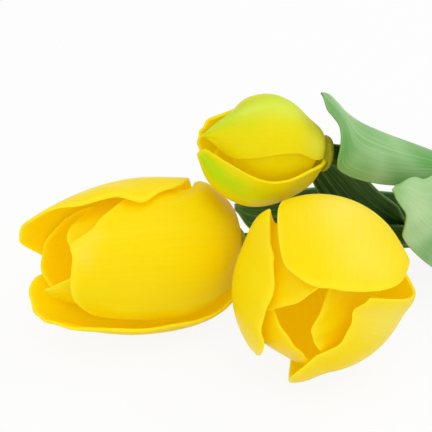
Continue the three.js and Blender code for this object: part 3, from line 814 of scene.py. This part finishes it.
# A stem: a round section with faint ribs carried out along its line, over the cut's rounded edge and
# back inside as the bore
def makeStem(name):
    p = stems
    path = stemLine(name)
    line = along(path, np.linspace(0, 1, p["rings"]))
    forward, side, over = carried(line)
    angle = np.linspace(0, tau, p["sides"], endpoint=False)[None, :, None]
    ripple = p["ribHeight"] * np.cos(p["ribs"] * angle)
    last, cut = p["rings"] - 1, p["cutRound"]
    stops = np.concatenate([np.arange(last + 1), [last], np.arange(last, -1, -1)])
    radius = np.full(len(stops), p["radius"])
    radius[[0, last + 1]] -= cut
    radius[last + 2:] = p["bore"]
    back = np.zeros(len(stops))
    back[last] = -cut
    across = np.cos(angle) * side[stops][:, None] + np.sin(angle) * over[stops][:, None]
    centre = (line[stops] + back[:, None] * mm * forward[stops])[:, None]
    loopPiece(name + "_stem", centre + across * (radius[:, None, None] + ripple) * mm, "stem")
    wireFinish = frame["nodes"][name + "_stem_wire"].data.materials
    wireFinish.clear()
    wireFinish.append(finishes["wire"])
    print("stem made:", name, f"{arcShares(path)[1] / mm:.0f} mm")


tape = {
    "turns": 3.2, "step": 0.16, "wall": 0.62, "gap": 0.35, "crinkle": 0.05, "crinkles": 46,
    "crinkleDrift": 9, "driftWaves": 7, "sides": 160, "rings": 40,
}


# The tape: a rounded triangle round the three stems, carried along them, with a step where each
# turn laps the one before and fine crinkles across it
def makeTape():
    low, high = [np.array(corner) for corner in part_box("tape_band")]
    spacing, radius = stems["spacing"], stems["radius"]
    centre = np.array([(low[1] + high[1]) / 2, low[2] + stems["bundleLift"] * mm])
    corners = np.array([(0.5, 0), (0, np.sin(np.pi / 3)), (-0.5, 0)]) * spacing
    starts = np.radians([-90, 30, 150])
    count = tape["sides"] // 3
    turn = (starts[:, None] + np.radians(120) * np.linspace(0, 1, count)[None, :]).ravel()
    hub = np.repeat(corners, count, axis=0)
    facing = np.stack([np.cos(turn), np.sin(turn)], axis=-1)
    share = np.arange(len(turn)) / len(turn)
    x = np.linspace(0, 1, tape["rings"])[:, None]
    lap = np.mod(x * tape["turns"] - share[None, :], 1.0)
    drift = tape["crinkleDrift"] * np.sin(tape["driftWaves"] * x)
    grain = np.sin(tape["crinkles"] * tau * share[None, :] + drift)
    innerRadius = (radius + tape["gap"]) * np.ones_like(grain)
    outerRadius = innerRadius + tape["wall"] + tape["step"] * lap + tape["crinkle"] * grain

    def skin(r):
        flat = hub[None] + facing[None] * r[..., None]
        place = x * (high[0] - low[0]) + low[0]
        return np.concatenate([(place * np.ones_like(r))[..., None], centre + flat * mm], axis=-1)

    points = np.concatenate([skin(outerRadius), skin(innerRadius)[::-1]])
    loopPiece("tape_band", points, "tape")
    print("tape made")


for headName in heads:
    makeReceptacle(headName)
    makeStem(headName)
makeTape()


# leaves

leafCommon = {
    "thickness": 0.9, "sheathRadius": 3.95, "sheathLength": 13, "sheathWrap": 230,
    "unrolledAt": 0.3, "shoulder": (0.76, 0.88), "bluntOver": 0.045, "waveFrom": (0.25, 0.5), "waveSkew": 1.7,
    "sideEdge": 0.92, "tipEdge": 0.97, "gridUp": 110, "gridAcross": 40, "sheathSteps": 60, "curveSteps": 300,
}

# halves are the blade's two widths from its midrib, reached over the wide shares of its length, and
# beak is the share of its width left past the shoulder; ends is the share of the midrib where the
# blade is blunt, sag lowers the midrib, and the margins add millimetres up its low and high sides
plainLeaf = {"ends": 1, "sag": level, "lowMargin": level, "highMargin": level}
leaves = {
    "bud_leaf": {
        "turn": 12, "halves": (19, 12), "wide": (0.3, 0.8), "gutter": 10, "beak": 0.4, "tipPower": 5,
        "reach": 70, "lift": 16.5, "sway": 1, "droop": 35, "swing": 0, "firstHandle": 14, "tipHandle": 28,
        "wave": 0.5, "waves": 2.3, "phase": 0.4, "ends": 0.985,
        "sag": [(0, 0), (0.4, 0), (0.6, 1.0), (0.75, 2.1), (0.88, 1.9), (0.94, 1.7), (1, 3)],
        "lowMargin": [(0, 0), (0.35, 0), (0.5, 1.5), (0.62, 1.6), (0.75, 0.6), (0.84, -0.4), (0.92, 0.9),
                      (1, 4)],
    },
    "open_leaf": {
        "turn": 84.5, "halves": (14.5, 13.5), "wide": (0, 0.4), "gutter": 30, "beak": 0.5, "tipPower": 2.4,
        "reach": 51.6, "lift": 25, "sway": 26, "droop": 0, "swing": 32, "firstHandle": 16, "tipHandle": 20,
        "wave": 0.6, "waves": 2.6, "phase": 1.2,
        "highMargin": [(0, 0), (0.4, 0), (0.6, 2.5), (0.85, 3.5), (0.97, 2), (1, 0)],
    },
    "half_open_leaf": {
        "turn": -80, "halves": (12, 12), "wide": (0, 0.4), "gutter": 16, "beak": 1, "tipPower": 2.6,
        "reach": 104, "lift": 17, "sway": 5, "droop": -3, "swing": 6, "firstHandle": 26, "tipHandle": 34,
        "wave": 0.5, "waves": 3.1, "phase": 2.0,
        "highMargin": [(0, 0), (0.7, 0), (0.88, 3.5), (0.96, 3.5), (1, 0)],
    },
    "half_open_upper_leaf": {
        "turn": -66, "halves": (11, 11), "wide": (0, 0.4), "gutter": 16, "beak": 1, "tipPower": 2.6,
        "reach": 37, "lift": 15.5, "sway": -18, "droop": 20, "swing": -22, "firstHandle": 18, "tipHandle": 16,
        "wave": 0.4, "waves": 2.0, "phase": 0.0,
    },
}


def leafRib(leaf):  # the midrib in the stem's frame: straight up the sheath, then a cubic to the tip
    common = leafCommon
    r, sheath = common["sheathRadius"], common["sheathLength"]
    droop, swing = np.radians(leaf["droop"]), np.radians(leaf["swing"])
    heading = np.array([np.sin(droop), np.cos(droop) * np.sin(swing), np.cos(droop) * np.cos(swing)])
    throat = np.array([r, 0, sheath])
    tip = np.array([r + leaf["lift"], leaf["sway"], sheath + leaf["reach"]])
    handles = [throat + [0, 0, leaf["firstHandle"]], tip - heading * leaf["tipHandle"]]
    straight = np.linspace([r, 0, 0], throat, common["sheathSteps"], endpoint=False)
    return np.concatenate([straight, bezier([throat, *handles, tip], common["curveSteps"])])


# A leaf in its stem's frame: arcs across its midrib, rolled round the stem at the sheath and opening
# into a gutter, as wide as the halves, the taper, the margins and a blunt elliptic end make it, with
# the midrib lowered by its sag and a slow wave that grows towards the margins.
def leafSurface(leaf):
    common = leafCommon
    r, rib = common["sheathRadius"], leafRib(leaf)
    _, length = arcShares(rib)
    t = np.linspace(0, leaf["ends"], common["gridUp"] + 1)
    middle = along(rib, t)
    sheathShare = common["sheathLength"] / length
    w = np.clip((t - sheathShare) / (1 - sheathShare), 0, 1)  # up the blade, from the sheath's end
    slope = unit(np.gradient(middle, axis=0))
    outward = np.empty_like(slope)
    last = np.array([1.0, 0, 0])
    for k, ahead in enumerate(slope):
        last = unit(last - ahead * np.dot(last, ahead))
        outward[k] = last
    sideways = np.cross(slope, outward)
    middle = middle - outward * curveThrough(w, leaf["sag"])[:, None]
    sheathHalf = r * np.radians(common["sheathWrap"] / 2)
    taper = np.sqrt(np.maximum(0, 1 - w ** leaf["tipPower"]))
    taper = taper * mix(1, leaf["beak"], smooth(w, *common["shoulder"]))
    blunt = np.sqrt(1 - np.clip(1 - (w[-1] - w) / common["bluntOver"], 0, 1) ** 2)

    def sideWidth(half, margin):
        width = mix(sheathHalf, half, smooth(w, *leaf["wide"])) * taper + curveThrough(w, margin)
        return np.maximum(common["thickness"], width * blunt)[:, None]

    bend = mix(1 / r, 1 / leaf["gutter"], smooth(w, 0, common["unrolledAt"]))[:, None]
    s = np.linspace(-1, 1, common["gridAcross"] + 1)[None, :]
    lowHalf, highHalf = leaf["halves"]
    low, high = sideWidth(lowHalf, leaf["lowMargin"]), sideWidth(highHalf, leaf["highMargin"])
    angle = bend * np.where(s < 0, low, high) * s
    wave = np.sin(tau * leaf["waves"] * w[:, None] + leaf["phase"] + common["waveSkew"] * s)
    rise = leaf["wave"] * s ** 2 * smooth(w, *common["waveFrom"])[:, None] * wave
    surface = middle[:, None] + sideways[:, None] * (np.sin(angle) / bend)[..., None]
    surface = surface + outward[:, None] * ((np.cos(angle) - 1) / bend + rise)[..., None]
    s, t = np.broadcast_arrays(s, t[:, None])
    edge = np.maximum(smooth(np.abs(s), common["sideEdge"], 1), smooth(t, common["tipEdge"], 1))
    return surface, np.stack([(s + 1) / 2, t], axis=-1), {"edge": edge}


def makeLeaf(name):
    leaf = {**plainLeaf, **leaves[name]}
    surface, uv, marks = leafSurface(leaf)
    joint = joints[name]
    axis = unit(np.array(joint["axis"], float))
    across = unit(np.cross([0, 0, 1], axis))
    basis = np.stack([np.cross(axis, across), -across, axis])
    world = np.array(joint["pos_m"]) + surface * mm @ spun(-leaf["turn"]) @ basis
    piece = shellPiece(name + "_skin", world, leafCommon["thickness"] * mm, uv, marks, finishes["leaf"])
    dress(piece, name)


for leafName in leaves:
    makeLeaf(leafName)
print("leaves made:", ", ".join(leaves))


# floor, light and camera

studio = {
    "floorSize": 6.0, "floorColour": (0.86, 0.86, 0.86), "floorGlow": 0.9,
    "worldColour": (1.0, 1.0, 1.0), "worldStrength": 0.8,
    "lookFrom": (-15, 28), "distance": 0.65, "aim": (-4, 2.2, 30),
    "lens": 178.75, "sensor": 36, "nearest": 0.01,
    "lamps": [
        {"name": "key", "place": (0.15, -0.35, 0.8), "size": 0.6, "power": 0.9},
        {"name": "side", "place": (0.6, 0.15, 0.55), "size": 0.4, "power": 0.7},
        {"name": "front", "place": (-0.35, -0.8, 0.42), "size": 0.9, "power": 1.4},
    ],
}


def seenRays(tree):  # 1 for the rays that show the background: the camera's, and those in gloss and glass
    rays = addNode(tree, "ShaderNodeLightPath")
    seen = math(tree, "MAXIMUM", rays.outputs["Is Camera Ray"], rays.outputs["Is Glossy Ray"])
    return math(tree, "MAXIMUM", seen, rays.outputs["Is Transmission Ray"])


# Seen by the camera and in reflections the floor glows towards white; it still takes the shadow
def makeFloor():
    material, tree, shader = newMaterial("floor")
    tree.nodes.remove(shader)
    output = tree.nodes["Material Output"]
    matt = addNode(tree, "ShaderNodeBsdfDiffuse")
    matt.inputs["Color"].default_value = (*studio["floorColour"], 1)
    glow = addNode(tree, "ShaderNodeEmission")
    blend = addNode(tree, "ShaderNodeMixShader")
    join(tree, math(tree, "MULTIPLY", seenRays(tree), studio["floorGlow"]), blend.inputs["Fac"])
    join(tree, matt.outputs[0], blend.inputs[1])
    join(tree, glow.outputs[0], blend.inputs[2])
    join(tree, blend.outputs[0], output.inputs["Surface"])
    half = studio["floorSize"] / 2
    mesh = bpy.data.meshes.new("floor")
    corners = [(-half, -half, 0), (half, -half, 0), (half, half, 0), (-half, half, 0)]
    mesh.from_pydata(corners, [], [(0, 1, 2, 3)])
    mesh.materials.append(material)
    newObject("floor", mesh)


def makeWorld():
    world = bpy.data.worlds.new("studio")
    bpy.context.scene.world = world
    world.use_nodes = True
    tree = world.node_tree
    light = tree.nodes["Background"]
    light.inputs["Color"].default_value = (*studio["worldColour"], 1)
    light.inputs["Strength"].default_value = studio["worldStrength"]
    white = addNode(tree, "ShaderNodeBackground")
    blend = addNode(tree, "ShaderNodeMixShader")
    join(tree, seenRays(tree), blend.inputs["Fac"])
    join(tree, light.outputs[0], blend.inputs[1])
    join(tree, white.outputs[0], blend.inputs[2])
    join(tree, blend.outputs[0], tree.nodes["World Output"].inputs["Surface"])


def aimed(place, target):  # a matrix at place whose -Z looks at target
    back = unit(place - target)
    right = unit(np.cross([0, 0, 1], back))
    up = np.cross(back, right)
    turn = np.eye(4)
    turn[:3, 0], turn[:3, 1], turn[:3, 2], turn[:3, 3] = right, up, back, place
    return Matrix(turn.tolist())


def makeCameraAndLamps():
    seat, _ = headPlace("half_open")
    target = np.array([seat[0], seat[1], 0]) + np.array(studio["aim"]) * mm
    azimuth, elevation = np.radians(studio["lookFrom"])
    flat = np.cos(elevation)
    back = np.array([np.sin(azimuth) * flat, -np.cos(azimuth) * flat, np.sin(elevation)])
    data = bpy.data.cameras.new("camera")
    data.lens = studio["lens"]
    data.sensor_width = studio["sensor"]
    data.clip_start = studio["nearest"]
    camera = newObject("camera", data)
    camera.matrix_world = aimed(target + back * studio["distance"], target)
    bpy.context.scene.camera = camera
    for lamp in studio["lamps"]:
        light = bpy.data.lights.new(lamp["name"], "AREA")
        light.size = lamp["size"]
        light.energy = lamp["power"]
        holder = newObject(lamp["name"], light)
        holder.matrix_world = aimed(target + np.array(lamp["place"]), target)


makeFloor()
makeWorld()
makeCameraAndLamps()
bpy.context.scene.view_settings.view_transform = "Standard"
print("studio made")
